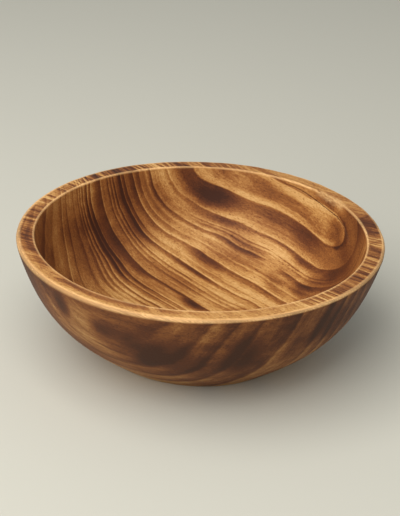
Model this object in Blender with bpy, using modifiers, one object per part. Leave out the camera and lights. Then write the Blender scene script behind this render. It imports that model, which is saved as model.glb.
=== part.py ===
"""A turned wooden serving bowl: one block of wood, with a wide foot, curved walls and a broad flat rim.

Metres, +Z up. The origin is the centre of the flat underside, and the bowl's turning axis is Z.
"""

import math

import bpy
from mathutils import Vector

# Driving dimensions of the finished bowl
BOWL_DIAMETER = 0.250
BOWL_HEIGHT = 0.0811
RIM_WIDTH = 0.0123
FOOT_DIAMETER = 0.1405
FLOOR_THICKNESS = 0.0130

# Rounded edges
OUTER_EDGE_ROUND = 0.0024
INNER_EDGE_ROUND = 0.0013
FOOT_EDGE_ROUND = 0.0016

# Slopes of the surfaces, in degrees above the horizontal, where each curve starts and ends
OUTER_SLOPE_AT_FOOT = 39.0
OUTER_SLOPE_AT_RIM = 75.0
INNER_SLOPE_AT_RIM = 78.0

# How far each end of a curve pulls on it, as a share of the straight line between its ends
OUTER_PULL_AT_FOOT = 0.44
OUTER_PULL_AT_RIM = 0.48
INNER_PULL_AT_RIM = 0.42
INNER_PULL_AT_FLOOR = 0.62

# Points along each stretch of the outline, and steps round the axis
WALL_POINTS = 12
ROUND_POINTS = 4
STEPS_ROUND_AXIS = 96
MERGE_DISTANCE = 0.00001
SHARP_ANGLE = 40.0

WOOD_COLOUR = (0.42, 0.20, 0.075, 1.0)
WOOD_ROUGHNESS = 0.42


def clear_scene():
    for obj in list(bpy.data.objects):
        bpy.data.objects.remove(obj)


def direction(degrees):
    """A unit step in the (radius, height) plane, at this angle above the horizontal."""
    angle = math.radians(degrees)
    return Vector((math.cos(angle), math.sin(angle)))


def outer_rim_corner():
    """Where the rim face and the outside would meet. Rounding this corner leaves the full diameter."""
    slope = math.radians(OUTER_SLOPE_AT_RIM)
    rounded_off = OUTER_EDGE_ROUND * (1.0 / math.tan(slope) + 1.0 / math.sin(slope) - 1.0)
    return Vector((BOWL_DIAMETER / 2 + rounded_off, BOWL_HEIGHT))


def inner_rim_corner():
    return Vector((BOWL_DIAMETER / 2 - RIM_WIDTH, BOWL_HEIGHT))


def curve_between(start, end, start_pull, end_pull, count):
    """Points of a cubic curve. Each pull is the vector from an end point to its control point."""
    points = []
    for index in range(count + 1):
        t = index / count
        u = 1.0 - t
        points.append(
            u**3 * start
            + 3 * u * u * t * (start + start_pull)
            + 3 * u * t * t * (end + end_pull)
            + t**3 * end
        )
    return points


def rounded(before, corner, after, radius):
    """An arc of this radius that touches both sides of the corner."""
    back = (before - corner).normalized()
    ahead = (after - corner).normalized()
    half_angle = back.angle(ahead) / 2
    centre = corner + (back + ahead).normalized() * (radius / math.sin(half_angle))
    first = corner + back * (radius / math.tan(half_angle)) - centre
    last = corner + ahead * (radius / math.tan(half_angle)) - centre
    turn = first.angle_signed(last)
    points = []
    for index in range(ROUND_POINTS + 1):
        angle = turn * index / ROUND_POINTS
        cosine = math.cos(angle)
        sine = math.sin(angle)
        # angle_signed counts clockwise turns as positive
        step = Vector((first.x * cosine + first.y * sine, first.y * cosine - first.x * sine))
        points.append(centre + step)
    return points


def outer_wall():
    """The outside of the wall, from the foot up to the outer corner of the rim."""
    foot = Vector((FOOT_DIAMETER / 2, 0.0))
    edge = outer_rim_corner()
    span = (edge - foot).length
    return curve_between(
        foot,
        edge,
        direction(OUTER_SLOPE_AT_FOOT) * span * OUTER_PULL_AT_FOOT,
        -direction(OUTER_SLOPE_AT_RIM) * span * OUTER_PULL_AT_RIM,
        WALL_POINTS,
    )


def inner_wall():
    """The inside of the bowl, from the middle of its floor up to the inner corner of the rim."""
    floor = Vector((0.0, FLOOR_THICKNESS))
    edge = inner_rim_corner()
    span = (edge - floor).length
    return curve_between(
        floor,
        edge,
        Vector((span * INNER_PULL_AT_FLOOR, 0.0)),
        -direction(INNER_SLOPE_AT_RIM) * span * INNER_PULL_AT_RIM,
        WALL_POINTS,
    )


def bowl_outline():
    """The whole outline: out over the floor, over the rim, down the outside and back to the axis."""
    inside = inner_wall()
    outside = list(reversed(outer_wall()))
    base_centre = Vector((0.0, 0.0))
    return (
        inside[:-1]
        + rounded(inside[-2], inside[-1], outside[0], INNER_EDGE_ROUND)
        + rounded(inside[-1], outside[0], outside[1], OUTER_EDGE_ROUND)
        + outside[1:-1]
        + rounded(outside[-2], outside[-1], base_centre, FOOT_EDGE_ROUND)
        + [base_centre]
    )


def wood_material():
    material = bpy.data.materials.new("scorched_wood")
    material.use_nodes = True
    shader = material.node_tree.nodes["Principled BSDF"]
    shader.inputs["Base Color"].default_value = WOOD_COLOUR
    shader.inputs["Roughness"].default_value = WOOD_ROUGHNESS
    shader.inputs["Metallic"].default_value = 0.0
    return material


def turned_object(name, outline, collection):
    """Spins an outline, given as (radius, height) points, about Z."""
    mesh = bpy.data.meshes.new(name)
    points = [(point.x, 0.0, point.y) for point in outline]
    edges = [(index, index + 1) for index in range(len(points) - 1)]
    mesh.from_pydata(points, edges, [])
    obj = bpy.data.objects.new(name, mesh)
    collection.objects.link(obj)
    screw = obj.modifiers.new("turning", "SCREW")
    screw.axis = "Z"
    screw.angle = math.tau
    screw.steps = STEPS_ROUND_AXIS
    screw.render_steps = STEPS_ROUND_AXIS
    screw.use_merge_vertices = True
    screw.merge_threshold = MERGE_DISTANCE
    screw.use_smooth_shade = True
    return obj


def add_sharp_edges(obj):
    """Makes the turned mesh real, so that its flat base keeps a crisp edge while its curves stay smooth."""
    evaluated = obj.evaluated_get(bpy.context.evaluated_depsgraph_get())
    mesh = bpy.data.meshes.new_from_object(evaluated)
    obj.modifiers.clear()
    obj.data = mesh
    mesh.shade_smooth()
    mesh.set_sharp_from_angle(angle=math.radians(SHARP_ANGLE))


def main():
    clear_scene()
    collection = bpy.data.collections.new("wooden_bowl")
    bpy.context.scene.collection.children.link(collection)
    bowl = turned_object("bowl", bowl_outline(), collection)
    add_sharp_edges(bowl)
    bowl.data.materials.append(wood_material())


main()
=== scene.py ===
import math

import bmesh
import bpy
from mathutils import Matrix, Vector, noise


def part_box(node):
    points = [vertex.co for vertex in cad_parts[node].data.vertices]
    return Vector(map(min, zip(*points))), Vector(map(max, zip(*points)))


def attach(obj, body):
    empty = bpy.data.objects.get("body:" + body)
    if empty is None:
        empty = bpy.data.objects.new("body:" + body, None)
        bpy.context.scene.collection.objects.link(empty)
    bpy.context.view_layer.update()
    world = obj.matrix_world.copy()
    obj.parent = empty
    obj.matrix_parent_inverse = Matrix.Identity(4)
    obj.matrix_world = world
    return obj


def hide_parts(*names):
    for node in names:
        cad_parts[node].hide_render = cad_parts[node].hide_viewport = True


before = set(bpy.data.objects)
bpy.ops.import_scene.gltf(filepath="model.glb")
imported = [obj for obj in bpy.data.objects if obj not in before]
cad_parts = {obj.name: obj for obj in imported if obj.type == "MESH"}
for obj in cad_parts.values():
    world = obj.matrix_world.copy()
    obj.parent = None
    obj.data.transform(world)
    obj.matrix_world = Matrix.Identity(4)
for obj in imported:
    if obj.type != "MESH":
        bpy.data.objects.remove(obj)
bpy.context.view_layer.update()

# ---------------------------------------------------------------- sizes, in metres
# These are the CAD bowl's, but for a rim 0.1 mm narrower
BOWL_LOW, BOWL_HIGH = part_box("bowl")
RADIUS = (BOWL_HIGH.x - BOWL_LOW.x) / 2
HEIGHT = BOWL_HIGH.z
MM = 0.001
RIM_WIDTH = 12.2 * MM
FOOT_RADIUS = 70.25 * MM
FLOOR_THICKNESS = 13.0 * MM
OUTER_EDGE_ROUND = 2.4 * MM
INNER_EDGE_ROUND = 1.3 * MM
FOOT_EDGE_ROUND = 1.6 * MM

# Slopes in degrees above the horizontal, and pulls as a share of the straight line between a curve's ends
OUTER_SLOPE_AT_FOOT = 39.0
OUTER_SLOPE_AT_RIM = 75.0
INNER_SLOPE_AT_RIM = 78.0
OUTER_PULL_AT_FOOT = 0.44
OUTER_PULL_AT_RIM = 0.48
INNER_PULL_AT_RIM = 0.42
INNER_PULL_AT_FLOOR = 0.62

# Points along each stretch of the outline
WALL_POINTS = 60
ROUND_POINTS = 8
BASE_POINTS = 22

# Steps round the axis in degrees, finer over the damaged part of the rim
COARSE_STEP = 1.5
FINE_STEP = 0.5
FINE_FROM = 10.0
FINE_TO = 64.0

# Faces nearer to the crack than each of these, in mm, are split once more.
# The first splits also take in the torn grain.
REFINE_LIMITS = (2.4, 1.4, 0.9)
TORN_SPLITS = 2
TORN_SPLIT_FROM = 0.02

# How uneven the hand finish is, in mm. The edges' own waves grow from 8 to 1 mm below the rim.
WAVE_DEPTH = 0.22
WAVE_LENGTH = 34.0
EDGE_WAVE_DEPTH = 0.16
EDGE_WAVE_LENGTH = 7.0
EDGE_WAVE_FROM = 8.0
EDGE_WAVE_TO = 1.0

# The underside, which is everything lower than FLAT_BELOW, is dished and has turning rings. All in mm
BASE_DISH_DEPTH = 0.7
BASE_DISH_RADIUS = 62.0
BASE_DISH_SLOPE = 5.0
TURNING_RING_PITCH = 2.6
TURNING_RING_DEPTH = 0.05
FLAT_BELOW = 0.001

# The hairline crack in the inner wall: (degrees round the axis, height in mm)
CRACK = (
    (12.0, 61.6),
    (17.0, 65.4),
    (22.0, 68.8),
    (28.0, 71.2),
    (36.0, 72.2),
    (45.0, 75.4),
    (52.0, 77.4),
    (60.0, 77.6),
)
CRACK_HALF_WIDTH = 0.60
CRACK_DEPTH = 0.8
THINNEST_CRACK = 0.05
FAR_FROM_CRACK = 99.0

# It thins over so many degrees at its start and its end, and is at full depth over this share of its width
CRACK_TAPERS = (4.0, 16.0)
CRACK_BED = 0.35

# How it strays: (mm, waves per degree, which noise). How its width varies: (middle, change, waves per degree)
CRACK_WANDER = ((0.5, 0.35, 3.0), (0.2, 1.7, 8.0))
CRACK_WIDTHS = (0.75, 0.6, 0.5)

# Torn grain at the inner edge of the rim: middle and half length in degrees, depth and reach in mm.
# It is at its full amount up to the two shares of its half length and reach.
TORN_ANGLE = 33.5
TORN_HALF_LENGTH = 9.5
TORN_DEPTH = 0.7
TORN_REACH = 4.6
TORN_FULL_LENGTH = 0.55
TORN_FULL_REACH = 0.35

# Its ragged edge: (mm, waves per degree, waves per mm).
# Its fibres: (waves per degree, waves per mm, middle, change)
TORN_RAGGED = (1.6, 0.45, 0.5)
TORN_FIBRES = (0.8, 1.4, 0.55, 1.1)

# Small nicks: (degrees round the axis, radius, height, size, depth), the last four in mm.
# They are this much longer round the axis than across.
NICK_STRETCH = 1.7
NICKS = (
    (41.0, 113.9, 81.1, 1.5, 0.8),
    (38.2, 112.9, 81.0, 1.0, 0.5),
    (24.0, 123.8, 80.4, 1.3, 0.35),
    (-58.0, 124.2, 80.0, 1.5, 0.3),
    (171.0, 123.9, 80.3, 1.6, 0.35),
    (118.0, 113.2, 81.0, 1.2, 0.3),
)

# ---------------------------------------------------------------- the tree that the bowl was cut from, in mm
# Its pith runs nearly level, along the back right wall. The growth rings are round it.
PITH_TURN = -41.0
PITH_DIP = -9.0
PITH_ACROSS = 100.3
PITH_UP = 66.3

# Each ring: where it starts, how dark its sharp edge is, and over what width the dark fades
RINGS = (
    (12.6, 0.55, 14.0),
    (30.3, 0.70, 4.5),
    (38.8, 0.55, 1.6),
    (41.2, 0.52, 1.8),
    (45.4, 0.74, 3.6),
    (51.0, 0.35, 4.0),
    (56.6, 0.48, 4.0),
    (62.8, 0.60, 6.0),
    (72.8, 0.55, 3.0),
    (77.4, 0.80, 4.4),
    (86.0, 0.62, 2.6),
    (89.6, 0.50, 2.6),
    (93.6, 0.55, 2.4),
    (102.6, 0.70, 8.0),
    (114.0, 0.70, 3.6),
    (118.6, 0.80, 5.6),
    (124.6, 0.66, 2.6),
    (129.0, 0.60, 2.4),
    (133.0, 0.48, 3.0),
    (141.0, 0.36, 3.0),
    (153.0, 0.46, 2.0),
    (161.0, 0.44, 7.0),
    (175.0, 0.36, 4.0),
    (184.0, 0.46, 6.0),
    (200.0, 0.40, 6.0),
    (209.0, 0.40, 4.0),
    (216.0, 0.46, 6.0),
    (226.0, 0.40, 5.0),
    (235.0, 0.44, 5.0),
    (247.0, 0.40, 6.0),
)

# The outside shows fewer and softer bands
OUTSIDE_RINGS = (
    (12.6, 0.60, 12.0),
    (30.3, 0.65, 7.0),
    (45.4, 0.70, 8.0),
    (62.8, 0.60, 7.0),
    (77.4, 0.75, 10.0),
    (102.6, 0.60, 8.0),
    (114.0, 0.60, 8.0),
    (125.0, 0.60, 7.0),
    (136.0, 0.55, 12.0),
    (160.0, 0.60, 13.0),
    (178.5, 0.60, 7.0),
    (189.0, 0.60, 7.0),
    (198.5, 0.65, 8.0),
    (209.5, 0.60, 5.0),
    (217.0, 0.75, 8.0),
    (230.0, 0.60, 8.0),
)
RING_SOFTNESS = 0.75
OUTSIDE_RING_SOFTNESS = 2.0
PLAIN_WOOD = 0.24
PALE_LINE_DEPTH = 0.36
RINGS_PER_RAMP = 7
LAST_RING_WIDTH = 10.0
HEART_EDGE = (RINGS[0][0] - 3.0, RINGS[0][0] - 0.5)

# Along each ring, in softnesses: its dark edge comes just after its start, the fade ends before the next
# ring, and the wood is a little paler before that ring's pale line
DARK_AFTER = 0.3
FADED_BEFORE = 2.2
PALER_BEFORE = 2.0
PALER_SHARE = 0.8

# How the rings leave true circles, in mm. Each range is (from, to, first value, last value).
# They spread or close up past one point of the pith, in proportion to their distance from a pivot.
BEND_FROM = -62.5
BEND_PIVOT = 44.0
BEND_RATE = 1.28e-4
# They swing out where the trunk swelled. The swing starts later, further from the pith and right beside it.
SWING_START = (22.0, 60.0)
SWING_LAG = 0.5
SWING_LAG_AT_PITH = (10.0, 28.0, 34.0, 0.0)
SWING_SIZE = (95.0, 135.0, 4.5, 11.0)
# They tuck in at the other end of the pith, if they are near it.
TUCK_FROM = 12.0
TUCK_RATE = (36.0, 58.0, 0.004, 0.0)
# On the outside they are tilted about a point of the pith.
OUTSIDE_TILT = 0.27
TILT_PIVOT = 45.0

# Noise is (waves per mm, octaves, roughness). Fibre noise starts with how much it changes along the pith.
# The whole tree wanders by up to half of WANDER, in mm.
WANDER_NOISE = (0.020, 2.0, 0.45)
WANDER = 6.0
LENGTHWISE_NOISE = (0.42, 4.0, 0.62)
LENGTHWISE_STRETCH = (0.035, 0.045)
STREAK_FIBRES = (0.03, 0.22, 3.0, 0.55)
FINE_FIBRES = (0.06, 1.3, 3.0, 0.65)
RAGGED_FIBRES = (0.1, 0.16, 2.0, 0.5)
BROAD_FIBRES = (0.35, 0.030, 2.0, 0.5)
PORE_FIBRES = (0.25, 1.7, 1.0, 0.5)
GRAIN_FIBRES = (0.5, 0.9, 2.0, 0.7)
SPECK_NOISE = (0.55, 1.0, 0.5)
RIM_BAND_NOISE = (0.20, 4.0, 0.7)
RIM_LINE_NOISE = (0.24, 2.0, 0.6)
RIM_DASH_NOISE = (0.25, 3.0, 0.6)

# Scorched places: (mm from the pith, mm along it, height), their half sizes and how burnt they are.
# Each fades out between these shares of its half sizes.
PATCH_EDGE = (0.1, 1.5)
SCORCHES = (
    # broad: the left and back walls, the right wall, and the clean floor
    ((110.0, -105.0, 60.0), (75.0, 36.0, 45.0), 0.34),
    ((185.0, -85.0, 60.0), (40.0, 45.0, 60.0), 0.26),
    ((42.0, 58.0, 60.0), (36.0, 26.0, 45.0), 0.75),
    ((45.0, -100.0, 60.0), (34.0, 26.0, 40.0), 0.12),
    ((80.0, -8.0, 13.0), (42.0, 30.0, 14.0), -0.20),
    ((46.5, -4.0, 25.0), (7.0, 13.0, 16.0), -0.10),
    # the inside, from the pith outwards
    ((10.6, -20.0, 60.0), (2.0, 70.0, 60.0), -0.30),
    ((5.0, -12.0, 64.0), (7.0, 30.0, 14.0), 0.16),
    ((5.5, -40.0, 71.0), (5.0, 18.0, 12.0), 0.34),
    ((5.0, 33.0, 62.0), (9.0, 10.0, 14.0), 0.60),
    ((10.5, 42.0, 52.0), (4.0, 5.0, 8.0), 0.60),
    ((19.5, -75.0, 50.0), (8.0, 24.0, 40.0), 1.05),
    ((20.0, 12.0, 40.0), (9.0, 18.0, 40.0), 0.35),
    ((34.0, -58.0, 35.0), (3.5, 21.0, 40.0), 0.65),
    ((37.0, -94.0, 60.0), (8.0, 16.0, 40.0), -0.25),
    ((17.0, 27.0, 78.0), (6.0, 9.0, 5.0), -0.30),
    ((33.0, 18.0, 25.0), (3.0, 12.0, 40.0), 0.60),
    ((35.0, 54.0, 40.0), (5.0, 9.0, 40.0), 0.55),
    ((42.5, -38.0, 20.0), (6.0, 22.0, 30.0), 0.30),
    ((50.0, 34.0, 25.0), (5.0, 12.0, 40.0), 0.60),
    ((51.0, 10.0, 18.0), (7.0, 11.0, 20.0), 0.40),
    ((66.0, -49.0, 20.0), (5.0, 16.0, 30.0), 0.55),
    ((79.5, -48.0, 20.0), (3.0, 24.0, 30.0), 0.42),
    ((80.0, -105.0, 50.0), (7.0, 26.0, 40.0), 0.45),
    ((106.5, -17.0, 15.0), (5.0, 10.0, 20.0), 0.70),
    ((112.0, -98.0, 45.0), (7.0, 16.0, 40.0), 0.40),
    ((117.5, -95.0, 45.0), (5.0, 24.0, 40.0), 0.70),
)

# The same for the outside, where the distance from the pith is a tilted one
OUTSIDE_SCORCHES = (
    ((208.0, -6.0, 58.0), (14.0, 26.0, 45.0), -0.55),
    ((203.0, 20.0, 30.0), (12.0, 16.0, 14.0), -0.35),
    ((150.0, 99.0, 50.0), (4.0, 6.0, 20.0), 0.45),
    ((175.0, 83.0, 50.0), (7.0, 11.0, 20.0), 0.80),
    ((187.0, 61.0, 45.0), (4.0, 9.0, 20.0), 0.60),
    ((197.0, 57.0, 50.0), (4.0, 10.0, 20.0), 0.65),
    ((203.0, 44.0, 50.0), (7.0, 11.0, 20.0), 0.95),
    ((209.0, 14.0, 60.0), (5.0, 10.0, 9.0), 0.85),
    ((207.0, 31.0, 56.0), (4.0, 8.0, 9.0), 0.60),
    ((205.0, -18.0, 67.0), (5.0, 8.0, 12.0), 1.05),
    ((136.0, 108.0, 66.0), (5.0, 7.0, 20.0), 0.80),
    ((125.0, 109.0, 60.0), (4.0, 6.0, 18.0), 0.55),
)

# Places where the rings on the inside are faint, given in the same way as SCORCHES, and how faint they are
FAINT_RINGS = (
    ((38.0, 66.0, 50.0), (24.0, 30.0, 90.0), 0.85),
    ((36.0, -94.0, 50.0), (8.0, 27.0, 90.0), 1.0),
    ((47.0, -3.0, 25.0), (5.5, 12.0, 30.0), 1.2),
)

# Base colours of the wood, from the palest line to the deepest scorch
WOOD_COLOURS = (
    (0.00, (0.74, 0.455, 0.180)),
    (0.20, (0.53, 0.268, 0.080)),
    (0.40, (0.31, 0.115, 0.027)),
    (0.66, (0.135, 0.038, 0.0098)),
    (1.00, (0.050, 0.0140, 0.0055)),
)
# Pale colour of edges worn by rubbing, also used for painted highlight on the rim's edges and painted bounce
# light at the foot
RUBBED_AND_PAINTED_LIGHT_COLOUR = (0.93, 0.57, 0.25)
TORN_COLOUR = (0.72, 0.45, 0.20)
# Painted shade in the crack and the nicks
CRACK_SHADE_COLOUR = (0.130, 0.045, 0.014)
# A dark colour, and how far the outside is mixed towards it
OUTSIDE_DARK_COLOUR = (0.056, 0.026, 0.011)
OUTSIDE_DARK_SHARE = 0.38
OUTSIDE_TINT = (1.0, 0.86, 0.78)
OUTSIDE_TINT_SHARE = 0.6

# Darkness is 0 to 1, as in WOOD_COLOURS. Heights are in mm, and facing is a part of the surface's normal.
OUTSIDE_FACING = (0.25, 0.8)
RIM_FACING = (0.7, 0.95)
RIM_HEIGHTS = (HEIGHT / MM - 3.0, HEIGHT / MM - 1.0)
UNDERSIDE_FACING = (-0.99, -0.93, 1.0, 0.0)
FAINTEST_RINGS = 0.9
SMUDGED_LENGTH = (10.0, 50.0, 0.8, 0.0)
BROAD_SCORCHING = (0.30, 0.70, -0.05, 0.45)
SCORCH_FEATHER = 1.1
RING_FEATHER = 1.2
RING_STRENGTH = 0.62
RING_STRENGTH_BURNT = 0.6
BURNT_STRENGTH = 0.45
STREAKINESS = 0.55
OUTSIDE_STREAKINESS = 0.60
SMUDGED_STREAKINESS = 0.25
# The outside darkens towards the rim, and its lowest part is lightened with painted bounce light from the
# floor
OUTSIDE_DARKER_AND_PAINTED_BOUNCE = (4.0, 48.0, -0.11, 0.27)
UNDERSIDE_PALER = 0.16
DARKNESS_FLOOR = 0.07
GRAIN_STRENGTH = 0.34
SPECK_LEVELS = (0.74, 0.79)
SPECK_STRENGTH = 0.3
PORE_LEVELS = (0.60, 0.72)
PORE_STRENGTH = 0.22

# The face of the rim. Its stripes are halfway between parallel and radial: the parallel share, and the
# radial share of the radius in mm at the middle of the rim.
STRIPE_PARALLEL = 0.5
STRIPE_RADIAL = 59.5
STRIPE_STRETCH = 0.03
DASH_STRETCH = 0.07
STRIPE_BANDS = (0.40, 0.60, 0.02, 0.32)
STRIPE_LINES = (0.0, 0.05, -0.30, 0.0)
DASH_LEVELS = (0.38, 0.54)
DASH_RADII = (116.5, 120.5, 0.32, 0.0)
DASH_SIDES = (-25.0, 15.0, 1.0, 0.15)
# It is scorched behind a ragged, slanting line near the front, and less so at the back right.
RIM_BEHIND_SLOPE = 0.32
RIM_BEHIND_RAGGED = 40.0
RIM_BEHIND = (-108.0, -40.0, 0.15, 1.0)
BACK_RIGHT = (0.71, 0.71, 0.0)
RIM_BACK_RIGHT = (0.62, 0.76, 1.0, 0.35)
RIM_PLAIN = 0.14
RIM_PLAIN_SHARE = 0.8

# Rubbed edges, with painted highlight along the rim's edges and painted bounce light at the foot: where they
# are, in mm from the rim's corners, how far the rubbing and painted light reach and their strength.
# The reach goes by x along the rim's outer edge, and by y along its inner edge.
OUTER_EDGE_IN = 0.9
OUTER_EDGE_DOWN = 0.5
OUTER_RUB_AND_HIGHLIGHT_FROM = 0.8
OUTER_RUB_AND_HIGHLIGHT_TO = (-60.0, 60.0, 3.0, 2.0)
OUTER_RUB_AND_HIGHLIGHT = 0.85
INNER_RUB_AND_HIGHLIGHT_FROM = 0.6
INNER_RUB_AND_HIGHLIGHT_TO = (-100.0, -30.0, 2.9, 1.8)
INNER_RUB_AND_HIGHLIGHT = 0.9
FOOT_RUB_AND_BOUNCE_FROM = 0.8
FOOT_RUB_AND_BOUNCE_TO = 10.0
FOOT_RUB_AND_BOUNCE = 0.36
RUB_AND_PAINTED_LIGHT_PATCHES = (0.25, 0.60, 1.0, 0.45)

# Damage and gloss
TORN_SHARE = (-0.2, 0.2, 0.35, 0.9)
# How much painted shade a nick gets at its deepest
NICK_SHADE_SHARE = 0.55
ROUGHNESS = (0.0, 1.0, 0.54, 0.62)
DULL_ROUGHNESS = 0.9
SPECULAR = 0.25
BUMP_STRENGTH = 0.5
BUMP_DISTANCE = 0.1 * MM
PORE_BUMP = 1.5


# ---------------------------------------------------------------- shape

def direction(degrees):
    """A unit step in the (radius, height) plane, at this angle above the horizontal."""
    angle = math.radians(degrees)
    return Vector((math.cos(angle), math.sin(angle)))


def curve_between(start, end, start_pull, end_pull, count):
    """Points of a cubic curve. Each pull is the vector from an end point to its control point."""
    points = []
    for index in range(count + 1):
        t = index / count
        u = 1.0 - t
        points.append(
            u**3 * start
            + 3 * u * u * t * (start + start_pull)
            + 3 * u * t * t * (end + end_pull)
            + t**3 * end
        )
    return points


def rounded(before, corner, after, radius):
    """An arc of this radius that touches both sides of the corner."""
    back = (before - corner).normalized()
    ahead = (after - corner).normalized()
    half_angle = back.angle(ahead) / 2
    centre = corner + (back + ahead).normalized() * (radius / math.sin(half_angle))
    first = corner + back * (radius / math.tan(half_angle)) - centre
    last = corner + ahead * (radius / math.tan(half_angle)) - centre
    turn = first.angle_signed(last)
    points = []
    for index in range(ROUND_POINTS + 1):
        angle = turn * index / ROUND_POINTS
        cosine = math.cos(angle)
        sine = math.sin(angle)
        # angle_signed counts clockwise turns as positive
        step = Vector((first.x * cosine + first.y * sine, first.y * cosine - first.x * sine))
        points.append(centre + step)
    return points


def straight(start, end, count):
    return [start.lerp(end, index / count) for index in range(count + 1)]


def bowl_outline():
    """The outline as (radius, height): out over the floor, over the rim, down the outside and back in."""
    slope = math.radians(OUTER_SLOPE_AT_RIM)
    rounded_off = OUTER_EDGE_ROUND * (1.0 / math.tan(slope) + 1.0 / math.sin(slope) - 1.0)
    outer_corner = Vector((RADIUS + rounded_off, HEIGHT))
    inner_corner = Vector((RADIUS - RIM_WIDTH, HEIGHT))
    floor = Vector((0.0, FLOOR_THICKNESS))
    foot = Vector((FOOT_RADIUS, 0.0))
    centre = Vector((0.0, 0.0))
    span = (inner_corner - floor).length
    inside = curve_between(
        floor,
        inner_corner,
        Vector((span * INNER_PULL_AT_FLOOR, 0.0)),
        -direction(INNER_SLOPE_AT_RIM) * span * INNER_PULL_AT_RIM,
        WALL_POINTS,
    )
    span = (outer_corner - foot).length
    outside = curve_between(
        outer_corner,
        foot,
        -direction(OUTER_SLOPE_AT_RIM) * span * OUTER_PULL_AT_RIM,
        direction(OUTER_SLOPE_AT_FOOT) * span * OUTER_PULL_AT_FOOT,
        WALL_POINTS,
    )
    inner_arc = rounded(inside[-3], inner_corner, outer_corner, INNER_EDGE_ROUND)
    outer_arc = rounded(inner_corner, outer_corner, outside[2], OUTER_EDGE_ROUND)
    foot_arc = rounded(outside[-2], foot, centre, FOOT_EDGE_ROUND)
    return (
        [point for point in inside if point.y < inner_arc[0].y]
        + inner_arc
        + straight(inner_arc[-1], outer_arc[0], ROUND_POINTS)[1:-1]
        + outer_arc
        + [point for point in outside if foot_arc[0].y < point.y < outer_arc[-1].y]
        + foot_arc
        + straight(foot_arc[-1], centre, BASE_POINTS)[1:]
    )


def angles_round():
    """Angles in degrees round the axis, closer together over the damaged part of the rim."""
    angles = []
    angle = 0.0
    while angle < 360.0 - COARSE_STEP / 2:
        angles.append(angle)
        angle += FINE_STEP if FINE_FROM <= angle < FINE_TO else COARSE_STEP
    return angles


def turn_outline(builder, outline, angles):
    """A closed turned surface. The outline's first and last points are on the axis."""
    columns = []
    for angle in angles:
        cosine = math.cos(math.radians(angle))
        sine = math.sin(math.radians(angle))
        columns.append([builder.verts.new((p.x * cosine, p.x * sine, p.y)) for p in outline[1:-1]])
    top = builder.verts.new((0.0, 0.0, outline[0].y))
    bottom = builder.verts.new((0.0, 0.0, outline[-1].y))
    for index, column in enumerate(columns):
        following = columns[(index + 1) % len(columns)]
        builder.faces.new((top, column[0], following[0]))
        builder.faces.new((bottom, following[-1], column[-1]))
        for row in range(len(column) - 1):
            builder.faces.new((column[row], column[row + 1], following[row + 1], following[row]))
    builder.normal_update()


# ---------------------------------------------------------------- wear and damage, in mm and degrees

def smooth_step(value, low, high):
    share = min(max((value - low) / (high - low), 0.0), 1.0)
    return share * share * (3.0 - 2.0 * share)


def polar(point):
    """(degrees round the axis, radius in mm, height in mm)"""
    return math.degrees(math.atan2(point.y, point.x)), math.hypot(point.x, point.y) / MM, point.z / MM


def crack_distance(point, normal):
    """How far a point of the inner wall is above or below the crack, in mm."""
    angle, _, height = polar(point)
    outward = normal.x * point.x + normal.y * point.y
    if outward > 0.0 or not CRACK[0][0] < angle < CRACK[-1][0]:
        return FAR_FROM_CRACK
    for (low_angle, low_height), (high_angle, high_height) in zip(CRACK, CRACK[1:]):
        if low_angle <= angle <= high_angle:
            share = (angle - low_angle) / (high_angle - low_angle)
            middle = low_height + (high_height - low_height) * share
            break
    middle += sum(size * noise.noise(Vector((angle * rate, kind, 0.0))) for size, rate, kind in CRACK_WANDER)
    return abs(height - middle)


def crack_width(angle):
    """Half the crack's width in mm. It thins at its ends."""
    start = CRACK[0][0]
    end = CRACK[-1][0]
    taper = smooth_step(angle, start, start + CRACK_TAPERS[0])
    taper *= smooth_step(-angle, -end, -end + CRACK_TAPERS[1])
    middle, change, rate = CRACK_WIDTHS
    return CRACK_HALF_WIDTH * taper * (middle + change * noise.noise(Vector((angle * rate, 0.0, 5.0))))


def torn_amount(point):
    """1 in the middle of the torn grain along the rim's inner edge, 0 away from it."""
    angle, radius, height = polar(point)
    edge = math.hypot(radius - (RADIUS - RIM_WIDTH) / MM, height - HEIGHT / MM)
    ragged, turn_rate, rate = TORN_RAGGED
    ragged *= noise.noise(Vector((angle * turn_rate, height * rate, 2.0)))
    off_middle = abs(angle - TORN_ANGLE)
    along = 1.0 - smooth_step(off_middle, TORN_HALF_LENGTH * TORN_FULL_LENGTH, TORN_HALF_LENGTH)
    return along * (1.0 - smooth_step(edge + ragged, TORN_REACH * TORN_FULL_REACH, TORN_REACH))


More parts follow.
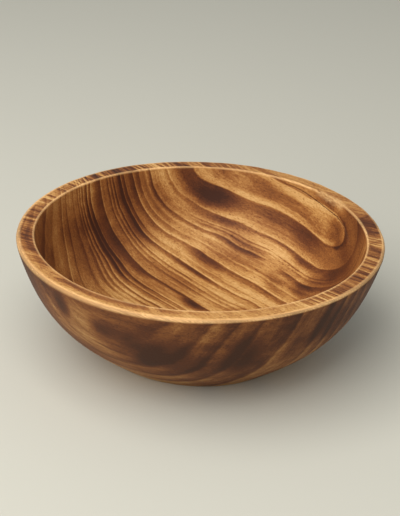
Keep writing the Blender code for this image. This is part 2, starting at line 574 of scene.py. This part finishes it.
def worked_point(point, normal):
    """Where a point of the turned shape goes, and how deep it is in the crack, in torn grain or in a nick."""
    angle, radius, height = polar(point)
    spot = point / MM
    sink = WAVE_DEPTH * (0.5 + noise.noise(spot / WAVE_LENGTH))
    near_edge = smooth_step(height, HEIGHT / MM - EDGE_WAVE_FROM, HEIGHT / MM - EDGE_WAVE_TO)
    sink += near_edge * EDGE_WAVE_DEPTH * (0.5 + noise.noise(spot / EDGE_WAVE_LENGTH))
    crack = 0.0
    distance = crack_distance(point, normal)
    if distance < REFINE_LIMITS[0]:
        width = max(crack_width(angle), THINNEST_CRACK)
        crack = 1.0 - smooth_step(distance, CRACK_BED * width, width)
        sink += CRACK_DEPTH * crack
    torn = torn_amount(point)
    if torn > 0.0:
        turn_rate, rate, middle, change = TORN_FIBRES
        fibres = noise.noise(Vector((angle * turn_rate, radius * rate, height * rate)))
        sink += TORN_DEPTH * torn * (middle + change * fibres)
    nick = 0.0
    for nick_angle, nick_radius, nick_height, size, depth in NICKS:
        turn = math.radians(angle - nick_angle) * nick_radius / NICK_STRETCH
        reach = math.sqrt(turn**2 + (radius - nick_radius) ** 2 + (height - nick_height) ** 2)
        here = 1.0 - smooth_step(reach, 0.0, size)
        sink += depth * here
        nick = max(nick, here)
    if height < FLAT_BELOW and radius < FOOT_RADIUS / MM:
        dish = 1.0 - smooth_step(radius, BASE_DISH_RADIUS - BASE_DISH_SLOPE, BASE_DISH_RADIUS)
        ring = 0.5 - 0.5 * math.cos(math.tau * radius / TURNING_RING_PITCH)
        sink = BASE_DISH_DEPTH * dish + TURNING_RING_DEPTH * ring * dish
    return point - normal * sink * MM, crack, torn, nick


def refine_round_damage(builder):
    """Splits the faces near the crack, finer and finer towards it, and those of the torn grain."""
    for step, limit in enumerate(REFINE_LIMITS):
        builder.normal_update()
        edges = set()
        for face in builder.faces:
            middle = face.calc_center_median()
            torn = step < TORN_SPLITS and torn_amount(middle) > TORN_SPLIT_FROM
            if torn or crack_distance(middle, face.normal) < limit:
                edges.update(face.edges)
        bmesh.ops.subdivide_edges(builder, edges=list(edges), cuts=1, use_grid_fill=True)


def bowl_mesh(name):
    """The finished surface, with the depth of damage at each point kept for the wood's colour."""
    builder = bmesh.new()
    turn_outline(builder, bowl_outline(), angles_round())
    refine_round_damage(builder)
    builder.normal_update()
    worked = [worked_point(vertex.co, vertex.normal) for vertex in builder.verts]
    for vertex, (place, crack, torn, nick) in zip(builder.verts, worked):
        vertex.co = place
    mesh = bpy.data.meshes.new(name)
    builder.to_mesh(mesh)
    builder.free()
    for index, layer in enumerate(("crack", "torn", "nick"), start=1):
        values = mesh.attributes.new(layer, "FLOAT", "POINT")
        values.data.foreach_set("value", [entry[index] for entry in worked])
    mesh.shade_smooth()
    return mesh


# ---------------------------------------------------------------- material helpers

class Nodes:
    """Adds nodes to a material and links them, so that each step of a formula reads as one line."""

    def __init__(self, name):
        self.material = bpy.data.materials.new(name)
        self.material.use_nodes = True
        self.tree = self.material.node_tree
        self.shader = self.tree.nodes["Principled BSDF"]

    def feed(self, socket, value):
        if isinstance(value, bpy.types.NodeSocket):
            self.tree.links.new(value, socket)
        else:
            socket.default_value = value

    def math(self, operation, *values, clamp=False):
        node = self.tree.nodes.new("ShaderNodeMath")
        node.operation = operation
        node.use_clamp = clamp
        for socket, value in zip(node.inputs, values):
            self.feed(socket, value)
        return node.outputs[0]

    def plus(self, first, second):
        return self.math("ADD", first, second)

    def minus(self, first, second):
        return self.math("SUBTRACT", first, second)

    def times(self, first, second):
        return self.math("MULTIPLY", first, second)

    def vector(self, operation, *values):
        node = self.tree.nodes.new("ShaderNodeVectorMath")
        node.operation = operation
        for socket, value in zip(node.inputs, values):
            self.feed(socket, value)
        return node.outputs["Value" if operation in ("LENGTH", "DOT_PRODUCT") else "Vector"]

    def scaled(self, vector, factor):
        node = self.tree.nodes.new("ShaderNodeVectorMath")
        node.operation = "SCALE"
        self.feed(node.inputs["Vector"], vector)
        self.feed(node.inputs["Scale"], factor)
        return node.outputs["Vector"]

    def combine(self, x, y, z):
        node = self.tree.nodes.new("ShaderNodeCombineXYZ")
        for socket, value in zip(node.inputs, (x, y, z)):
            self.feed(socket, value)
        return node.outputs[0]

    def separate(self, vector):
        node = self.tree.nodes.new("ShaderNodeSeparateXYZ")
        self.feed(node.inputs[0], vector)
        return node.outputs[0], node.outputs[1], node.outputs[2]

    def noise(self, vector, scale, detail, roughness, colour=False):
        node = self.tree.nodes.new("ShaderNodeTexNoise")
        self.feed(node.inputs["Vector"], vector)
        node.inputs["Scale"].default_value = scale
        node.inputs["Detail"].default_value = detail
        node.inputs["Roughness"].default_value = roughness
        return node.outputs["Color" if colour else "Fac"]

    def smooth(self, value, low, high, to_low=0.0, to_high=1.0):
        """Goes smoothly from to_low to to_high as the value goes from low to high, and stays there."""
        node = self.tree.nodes.new("ShaderNodeMapRange")
        node.interpolation_type = "SMOOTHSTEP"
        for socket, number in zip(node.inputs, (value, low, high, to_low, to_high)):
            self.feed(socket, number)
        return node.outputs[0]

    def ramp(self, value, stops):
        """stops are (position, colour or grey)."""
        node = self.tree.nodes.new("ShaderNodeValToRGB")
        elements = node.color_ramp.elements
        while len(elements) < len(stops):
            elements.new(0.5)
        for element, (position, colour) in zip(elements, stops):
            element.position = position
            grey = isinstance(colour, float)
            element.color = (colour, colour, colour, 1.0) if grey else (*colour, 1.0)
        self.feed(node.inputs[0], value)
        return node.outputs["Color"]

    def mix(self, factor, first, second, blend="MIX"):
        node = self.tree.nodes.new("ShaderNodeMixRGB")
        node.blend_type = blend
        for socket, value in zip(node.inputs, (factor, first, second)):
            self.feed(socket, (*value, 1.0) if isinstance(value, tuple) else value)
        return node.outputs[0]

    def blend(self, factor, first, second):
        """A number between two numbers."""
        return self.plus(first, self.times(factor, self.minus(second, first)))

    def layer(self, name):
        node = self.tree.nodes.new("ShaderNodeAttribute")
        node.attribute_name = name
        return node.outputs["Fac"]


# ---------------------------------------------------------------- wood

def pith_frame():
    """Unit vectors along the pith, level across it, and up across it."""
    turn = math.radians(PITH_TURN)
    dip = math.radians(PITH_DIP)
    along = Vector((math.cos(dip) * math.cos(turn), math.cos(dip) * math.sin(turn), math.sin(dip)))
    across = Vector((-math.sin(turn), math.cos(turn), 0.0))
    return along, across, along.cross(across)


def ring_stops(rings, next_start, first, last, softness):
    """Ramp stops for a run of rings. Each has a pale line, a dark edge and a fade to plain wood."""
    stops = []
    width = last - first
    starts = [ring[0] for ring in rings[1:]] + [next_start]
    for (start, dark, fade), following in zip(rings, starts):
        faded = min(start + fade, following - FADED_BEFORE * softness)
        pale = max(PLAIN_WOOD - PALE_LINE_DEPTH * (dark - PLAIN_WOOD), 0.0)
        stops.append(((start - softness - first) / width, pale))
        stops.append(((start + DARK_AFTER * softness - first) / width, dark))
        stops.append(((faded - first) / width, PLAIN_WOOD))
        stops.append(((following - PALER_BEFORE * softness - first) / width, PLAIN_WOOD * PALER_SHARE))
    stops.append((1.0, 0.0))
    stops[0] = (0.0, 0.0)
    return stops


class Wood(Nodes):
    """The bowl's scorched wood. Each step adds its own nodes, and keeps what the later steps need."""

    def __init__(self):
        super().__init__("scorched_wood")
        self.find_surfaces()
        self.find_tree()
        self.bend_rings()
        self.add_fibres()
        self.add_rings()
        self.add_scorching()
        self.darken_surfaces()
        self.stripe_rim()
        self.add_pores()
        self.set_colour()
        self.set_gloss()
        self.set_bump()

    def ring_darkness(self, from_pith, rings, softness):
        """How dark the growth rings are, at this many mm from the pith."""
        total = None
        for index in range(0, len(rings), RINGS_PER_RAMP):
            run = rings[index : index + RINGS_PER_RAMP]
            more = rings[index + RINGS_PER_RAMP : index + RINGS_PER_RAMP + 1]
            next_start = more[0][0] if more else run[-1][0] + LAST_RING_WIDTH
            first = run[0][0] - softness
            last = next_start - softness
            place = self.math("DIVIDE", self.minus(from_pith, first), last - first)
            value = self.ramp(place, ring_stops(run, next_start, first, last, softness))
            total = value if total is None else self.plus(total, value)
        return total

    def fibre_noise(self, stretch, *noise):
        """Noise drawn out along the pith, between 0 and 1."""
        return self.noise(self.combine(self.a, self.b, self.times(self.s, stretch)), *noise)

    def centred(self, value):
        """Noise as an amount either side of 0."""
        return self.minus(value, 0.5)

    def edge_nearness(self, edge_radius, edge_height, near, far):
        """1 at an edge that runs round the axis, 0 further from it than far."""
        offset = self.combine(self.minus(self.radius, edge_radius), self.minus(self.z, edge_height), 0.0)
        return self.smooth(self.vector("LENGTH", offset), near, far, 1.0, 0.0)

    def patches(self, feather, spots):
        """The sum of soft spots, each given as its centre, its half sizes and its strength."""
        total = 0.0
        for centre, half, strength in spots:
            offset = self.vector("DIVIDE", self.vector("SUBTRACT", self.charred, centre), half)
            distance = self.plus(self.vector("LENGTH", offset), feather)
            total = self.plus(total, self.smooth(distance, *PATCH_EDGE, strength, 0.0))
        return total

    def find_surfaces(self):
        """Where a point is on the bowl, in mm, and whether that is the outside or the face of the rim."""
        texture = self.tree.nodes.new("ShaderNodeTexCoord")
        normal = texture.outputs["Normal"]
        self.spot = self.scaled(texture.outputs["Object"], 1.0 / MM)
        self.x, self.y, self.z = self.separate(self.spot)
        from_axis = self.combine(self.x, self.y, 0.0)
        self.radius = self.vector("LENGTH", from_axis)
        outward = self.vector("DOT_PRODUCT", normal, self.vector("NORMALIZE", from_axis))
        self.facing_up = self.separate(normal)[2]
        facing_down = self.math("MINIMUM", self.facing_up, 0.0)
        self.outside = self.smooth(self.minus(outward, facing_down), *OUTSIDE_FACING)
        self.on_rim = self.times(self.smooth(self.facing_up, *RIM_FACING), self.smooth(self.z, *RIM_HEIGHTS))

    def find_tree(self):
        """Where a point is in the tree: s along its pith, a and b across it, and its distance from it."""
        wander = self.vector("SUBTRACT", self.noise(self.spot, *WANDER_NOISE, colour=True), (0.5, 0.5, 0.5))
        self.place = self.vector("ADD", self.spot, self.scaled(wander, WANDER))
        along, across, up = pith_frame()
        self.s = self.vector("DOT_PRODUCT", self.place, along)
        self.across = self.vector("DOT_PRODUCT", self.place, across)
        self.a = self.minus(self.across, PITH_ACROSS)
        self.b = self.minus(self.vector("DOT_PRODUCT", self.place, up), PITH_UP)
        self.true_distance = self.vector("LENGTH", self.combine(self.a, self.b, 0.0))

    def bend_rings(self):
        """from_pith counts out across the rings, which aren't true circles."""
        past = self.math("MAXIMUM", self.minus(BEND_FROM, self.s), 0.0)
        bend = self.times(self.times(past, past), BEND_RATE)
        from_pivot = self.minus(self.true_distance, BEND_PIVOT)
        from_pith = self.plus(self.true_distance, self.times(from_pivot, bend))
        reach = self.minus(self.times(self.s, -1.0), self.times(from_pith, SWING_LAG))
        reach = self.minus(reach, self.smooth(from_pith, *SWING_LAG_AT_PITH))
        swing = self.times(self.smooth(reach, *SWING_START), self.smooth(from_pith, *SWING_SIZE))
        beyond = self.math("MAXIMUM", self.minus(self.s, TUCK_FROM), 0.0)
        tuck = self.times(self.times(beyond, beyond), self.smooth(from_pith, *TUCK_RATE))
        tilt = self.times(self.times(self.outside, OUTSIDE_TILT), self.minus(self.s, TILT_PIVOT))
        self.from_pith = self.plus(self.minus(self.plus(from_pith, tuck), swing), tilt)
        self.a = self.minus(self.a, tilt)

    def add_fibres(self):
        """Streaks run with the grain, and feather the edges of rings and scorches."""
        along_s, along_z = LENGTHWISE_STRETCH
        lengthwise = self.combine(self.from_pith, self.times(self.s, along_s), self.times(self.z, along_z))
        lengthwise_streaks = self.centred(self.noise(lengthwise, *LENGTHWISE_NOISE))
        self.streaks = self.plus(lengthwise_streaks, self.centred(self.fibre_noise(*STREAK_FIBRES)))
        self.fine = self.centred(self.fibre_noise(*FINE_FIBRES))
        self.ragged = self.centred(self.fibre_noise(*RAGGED_FIBRES))
        self.broad = self.fibre_noise(*BROAD_FIBRES)
        self.from_pith = self.plus(self.from_pith, self.times(self.ragged, RING_FEATHER))
        self.charred = self.combine(self.from_pith, self.s, self.z)

    def add_rings(self):
        """Sharp rings inside and softer ones outside, which fade where the wood is clean or smudged."""
        sharp = self.ring_darkness(self.from_pith, RINGS, RING_SOFTNESS)
        feathered = self.plus(self.from_pith, self.times(self.streaks, RING_FEATHER))
        soft = self.ring_darkness(feathered, OUTSIDE_RINGS, OUTSIDE_RING_SOFTNESS)
        heart = self.smooth(self.true_distance, *HEART_EDGE, PLAIN_WOOD, 0.0)
        rings = self.plus(self.blend(self.outside, sharp, soft), heart)
        faint = self.times(self.patches(0.0, FAINT_RINGS), self.minus(1.0, self.outside))
        rings = self.blend(self.math("MINIMUM", faint, FAINTEST_RINGS), rings, PLAIN_WOOD)
        self.smudged = self.times(self.outside, self.smooth(self.s, *SMUDGED_LENGTH))
        self.rings = self.blend(self.smudged, rings, PLAIN_WOOD)

    def add_scorching(self):
        """dark is how dark the wood is, from its rings, its scorched places and its streaks."""
        feather = self.times(self.streaks, SCORCH_FEATHER)
        burnt = self.plus(self.smooth(self.broad, *BROAD_SCORCHING), self.patches(feather, SCORCHES))
        burnt = self.plus(burnt, self.times(self.patches(feather, OUTSIDE_SCORCHES), self.outside))
        ring_strength = self.plus(RING_STRENGTH, self.times(burnt, RING_STRENGTH_BURNT))
        dark = self.plus(self.times(self.rings, ring_strength), self.times(burnt, BURNT_STRENGTH))
        streakiness = self.blend(self.outside, STREAKINESS, OUTSIDE_STREAKINESS)
        streakiness = self.minus(streakiness, self.times(self.smudged, SMUDGED_STREAKINESS))
        self.dark = self.plus(dark, self.times(self.streaks, streakiness))

    def darken_surfaces(self):
        """The outside is darker towards the rim, and lightened near the foot with painted bounce light from
        the floor. The underside was never scorched.
        """
        # painted bounce light lightens the outside's lowest part
        darker = self.smooth(self.z, *OUTSIDE_DARKER_AND_PAINTED_BOUNCE)
        self.dark = self.plus(self.dark, self.times(self.outside, darker))
        underneath = self.smooth(self.facing_up, *UNDERSIDE_FACING)
        self.dark = self.minus(self.dark, self.times(underneath, UNDERSIDE_PALER))

    def stripe_rim(self):
        """End grain on the rim takes the scorching in stripes, least at the front and at the back right."""
        spread = self.plus(STRIPE_PARALLEL, self.math("DIVIDE", STRIPE_RADIAL, self.radius))
        crossing = self.times(self.across, spread)
        across_rim = self.combine(crossing, self.times(self.s, STRIPE_STRETCH), 0.0)
        bands = self.smooth(self.noise(across_rim, *RIM_BAND_NOISE), *STRIPE_BANDS)
        off_line = self.math("ABSOLUTE", self.centred(self.noise(across_rim, *RIM_LINE_NOISE)))
        stripes = self.plus(bands, self.smooth(off_line, *STRIPE_LINES))
        behind = self.plus(self.y, self.times(self.x, RIM_BEHIND_SLOPE))
        behind = self.plus(behind, self.times(self.ragged, RIM_BEHIND_RAGGED))
        scorched = self.times(self.on_rim, self.smooth(behind, *RIM_BEHIND))
        back_right = self.vector("DOT_PRODUCT", self.vector("NORMALIZE", self.spot), BACK_RIGHT)
        scorched = self.times(scorched, self.smooth(back_right, *RIM_BACK_RIGHT))
        clean = self.minus(self.on_rim, scorched)
        dark = self.blend(self.times(clean, RIM_PLAIN_SHARE), self.dark, RIM_PLAIN)
        dark = self.plus(dark, self.times(scorched, stripes))

        # the clean part has short dashes along its inner half, mostly at the left
        inner_half = self.times(clean, self.smooth(self.radius, *DASH_RADII))
        inner_half = self.times(inner_half, self.smooth(self.x, *DASH_SIDES))
        along_dashes = self.combine(crossing, self.times(self.s, DASH_STRETCH), 0.0)
        dashes = self.smooth(self.noise(along_dashes, *RIM_DASH_NOISE), *DASH_LEVELS)
        self.dark = self.plus(dark, self.times(inner_half, dashes))

    def add_pores(self):
        """Fine grain, dark specks and the long pores of the wood."""
        self.pores = self.smooth(self.fibre_noise(*PORE_FIBRES), *PORE_LEVELS)
        specks = self.smooth(self.noise(self.place, *SPECK_NOISE), *SPECK_LEVELS)
        grain = self.plus(self.fine, self.centred(self.fibre_noise(*GRAIN_FIBRES)))
        dark = self.math("MAXIMUM", self.dark, DARKNESS_FLOOR)
        dark = self.plus(dark, self.times(grain, GRAIN_STRENGTH))
        dark = self.plus(dark, self.times(specks, SPECK_STRENGTH))
        self.dark = self.math("ADD", dark, self.times(self.pores, PORE_STRENGTH), clamp=True)

    def rubbed_and_painted_light(self):
        """How far the rim's edges and the foot are worn by rubbing, with painted highlight along the rim's
        edges and painted bounce light at the foot.
        """
        outer_far = self.smooth(self.x, *OUTER_RUB_AND_HIGHLIGHT_TO)
        outer = self.edge_nearness(
            RADIUS / MM - OUTER_EDGE_IN, HEIGHT / MM - OUTER_EDGE_DOWN, OUTER_RUB_AND_HIGHLIGHT_FROM, outer_far
        )
        inner_far = self.smooth(self.y, *INNER_RUB_AND_HIGHLIGHT_TO)
        inner = self.edge_nearness((RADIUS - RIM_WIDTH) / MM, HEIGHT / MM, INNER_RUB_AND_HIGHLIGHT_FROM, inner_far)
        foot = self.edge_nearness(FOOT_RADIUS / MM, 0.0, FOOT_RUB_AND_BOUNCE_FROM, FOOT_RUB_AND_BOUNCE_TO)
        rubbed_and_painted_light = self.math("MAXIMUM", self.times(outer, OUTER_RUB_AND_HIGHLIGHT), self.times(inner, INNER_RUB_AND_HIGHLIGHT))
        rubbed_and_painted_light = self.math("MAXIMUM", rubbed_and_painted_light, self.times(foot, FOOT_RUB_AND_BOUNCE))
        return self.times(rubbed_and_painted_light, self.smooth(self.plus(self.broad, self.fine), *RUB_AND_PAINTED_LIGHT_PATCHES))

    def set_colour(self):
        """The outside is darker and tinted, edges worn by rubbing are pale with painted highlight on the rim
        and painted bounce light at the foot, torn grain is pale, and the crack and nicks get painted shade.
        """
        colour = self.ramp(self.dark, WOOD_COLOURS)
        # the outside is mixed part way towards a dark colour
        colour = self.mix(self.times(self.outside, OUTSIDE_DARK_SHARE), colour, OUTSIDE_DARK_COLOUR)
        colour = self.mix(self.times(self.outside, OUTSIDE_TINT_SHARE), colour, OUTSIDE_TINT, "MULTIPLY")
        # edges worn by rubbing turn pale, with painted highlight on the rim's edges and painted bounce light
        # at the foot
        colour = self.mix(self.rubbed_and_painted_light(), colour, RUBBED_AND_PAINTED_LIGHT_COLOUR)
        torn = self.times(self.layer("torn"), self.smooth(self.fine, *TORN_SHARE))
        colour = self.mix(torn, colour, TORN_COLOUR)
        # painted shade in the crack and the nicks, strongest at their deepest
        nicks = self.times(self.layer("nick"), NICK_SHADE_SHARE)
        deep = self.math("MAXIMUM", self.layer("crack"), nicks, clamp=True)
        self.feed(self.shader.inputs["Base Color"], self.mix(deep, colour, CRACK_SHADE_COLOUR))

    def set_gloss(self):
        """Scorched wood is a little rougher, and torn grain and the crack are dull."""
        dull = self.math("MAXIMUM", self.layer("torn"), self.layer("crack"))
        roughness = self.blend(dull, self.smooth(self.dark, *ROUGHNESS), DULL_ROUGHNESS)
        self.feed(self.shader.inputs["Roughness"], roughness)
        self.shader.inputs["Specular IOR Level"].default_value = SPECULAR

    def set_bump(self):
        """Rings stand up a little, and pores are sunk."""
        bump = self.tree.nodes.new("ShaderNodeBump")
        bump.inputs["Strength"].default_value = BUMP_STRENGTH
        bump.inputs["Distance"].default_value = BUMP_DISTANCE
        relief = self.minus(self.plus(self.rings, self.fine), self.times(self.pores, PORE_BUMP))
        self.feed(bump.inputs["Height"], relief)
        self.feed(self.shader.inputs["Normal"], bump.outputs["Normal"])


# ---------------------------------------------------------------- stage

# Distances are in metres, angles in degrees and lenses in mm
CAMERA_DISTANCE = 0.875
CAMERA_ELEVATION = 30.16
CAMERA_TILT = 3.495
CAMERA_ROLL = 2.09
CAMERA_LENS = 85.71

FLOOR_HALF_SIZE = 4.0
FLOOR_COLOUR = (0.585, 0.58, 0.52, 1.0)
FLOOR_ROUGHNESS = 0.8

# Area lights: (name, azimuth, elevation, distance, size, watts, colour)
LIGHTS = (
    ("key", -48.0, 60.0, 1.3, 1.5, 18.2, (1.0, 0.97, 0.92)),
    ("front", -32.0, 24.0, 1.5, 1.0, 4.8, (1.0, 0.95, 0.88)),
)
SKY_COLOUR = (0.86, 0.86, 0.82, 1.0)
SKY_STRENGTH = 0.50


def add_camera():
    """The camera looks at the foot, is then tilted up, and leans a little to one side."""
    elevation = math.radians(CAMERA_ELEVATION)
    tilt = math.radians(CAMERA_TILT)
    roll = math.radians(CAMERA_ROLL)
    place = Vector((0.0, -math.cos(elevation), math.sin(elevation))) * CAMERA_DISTANCE
    right = Vector((1.0, 0.0, 0.0))
    forward = -place.normalized()
    up = right.cross(forward)
    ahead = forward * math.cos(tilt) + up * math.sin(tilt)
    up = right.cross(ahead)
    leaned_right = right * math.cos(roll) + up * math.sin(roll)
    leaned_up = up * math.cos(roll) - right * math.sin(roll)
    data = bpy.data.cameras.new("camera")
    data.lens = CAMERA_LENS
    camera = bpy.data.objects.new("camera", data)
    bpy.context.scene.collection.objects.link(camera)
    turn = Matrix((leaned_right, leaned_up, -ahead)).transposed().to_4x4()
    camera.matrix_world = Matrix.Translation(place) @ turn
    bpy.context.scene.camera = camera


def add_floor():
    mesh = bpy.data.meshes.new("floor")
    builder = bmesh.new()
    bmesh.ops.create_grid(builder, x_segments=1, y_segments=1, size=FLOOR_HALF_SIZE)
    builder.to_mesh(mesh)
    builder.free()
    floor = bpy.data.objects.new("floor", mesh)
    bpy.context.scene.collection.objects.link(floor)
    nodes = Nodes("pale_floor")
    nodes.shader.inputs["Base Color"].default_value = FLOOR_COLOUR
    nodes.shader.inputs["Roughness"].default_value = FLOOR_ROUGHNESS
    mesh.materials.append(nodes.material)


def add_area_light(name, azimuth, elevation, distance, size, power, colour):
    """A soft square light aimed at the bowl. Azimuth 0 is at the camera's side, 90 at its right."""
    angle = math.radians(azimuth)
    rise = math.radians(elevation)
    toward = Vector((math.sin(angle) * math.cos(rise), -math.cos(angle) * math.cos(rise), math.sin(rise)))
    data = bpy.data.lights.new(name, "AREA")
    data.shape = "SQUARE"
    data.size = size
    data.energy = power
    data.color = colour
    light = bpy.data.objects.new(name, data)
    bpy.context.scene.collection.objects.link(light)
    light.visible_camera = False
    light.location = toward * distance + Vector((0.0, 0.0, HEIGHT / 2))
    light.rotation_euler = toward.to_track_quat("Z", "Y").to_euler()


def add_lights():
    for light in LIGHTS:
        add_area_light(*light)
    scene = bpy.context.scene
    scene.view_settings.view_transform = "Standard"
    scene.world = bpy.data.worlds.new("studio")
    scene.world.use_nodes = True
    background = scene.world.node_tree.nodes["Background"]
    background.inputs["Color"].default_value = SKY_COLOUR
    background.inputs["Strength"].default_value = SKY_STRENGTH


# ---------------------------------------------------------------- the bowl

def add_bowl():
    mesh = bowl_mesh("turned_bowl")
    bowl = bpy.data.objects.new("turned_bowl", mesh)
    bpy.context.scene.collection.objects.link(bowl)
    mesh.materials.append(Wood().material)
    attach(bowl, "root")
    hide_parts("bowl")


add_camera()
add_floor()
add_lights()
add_bowl()
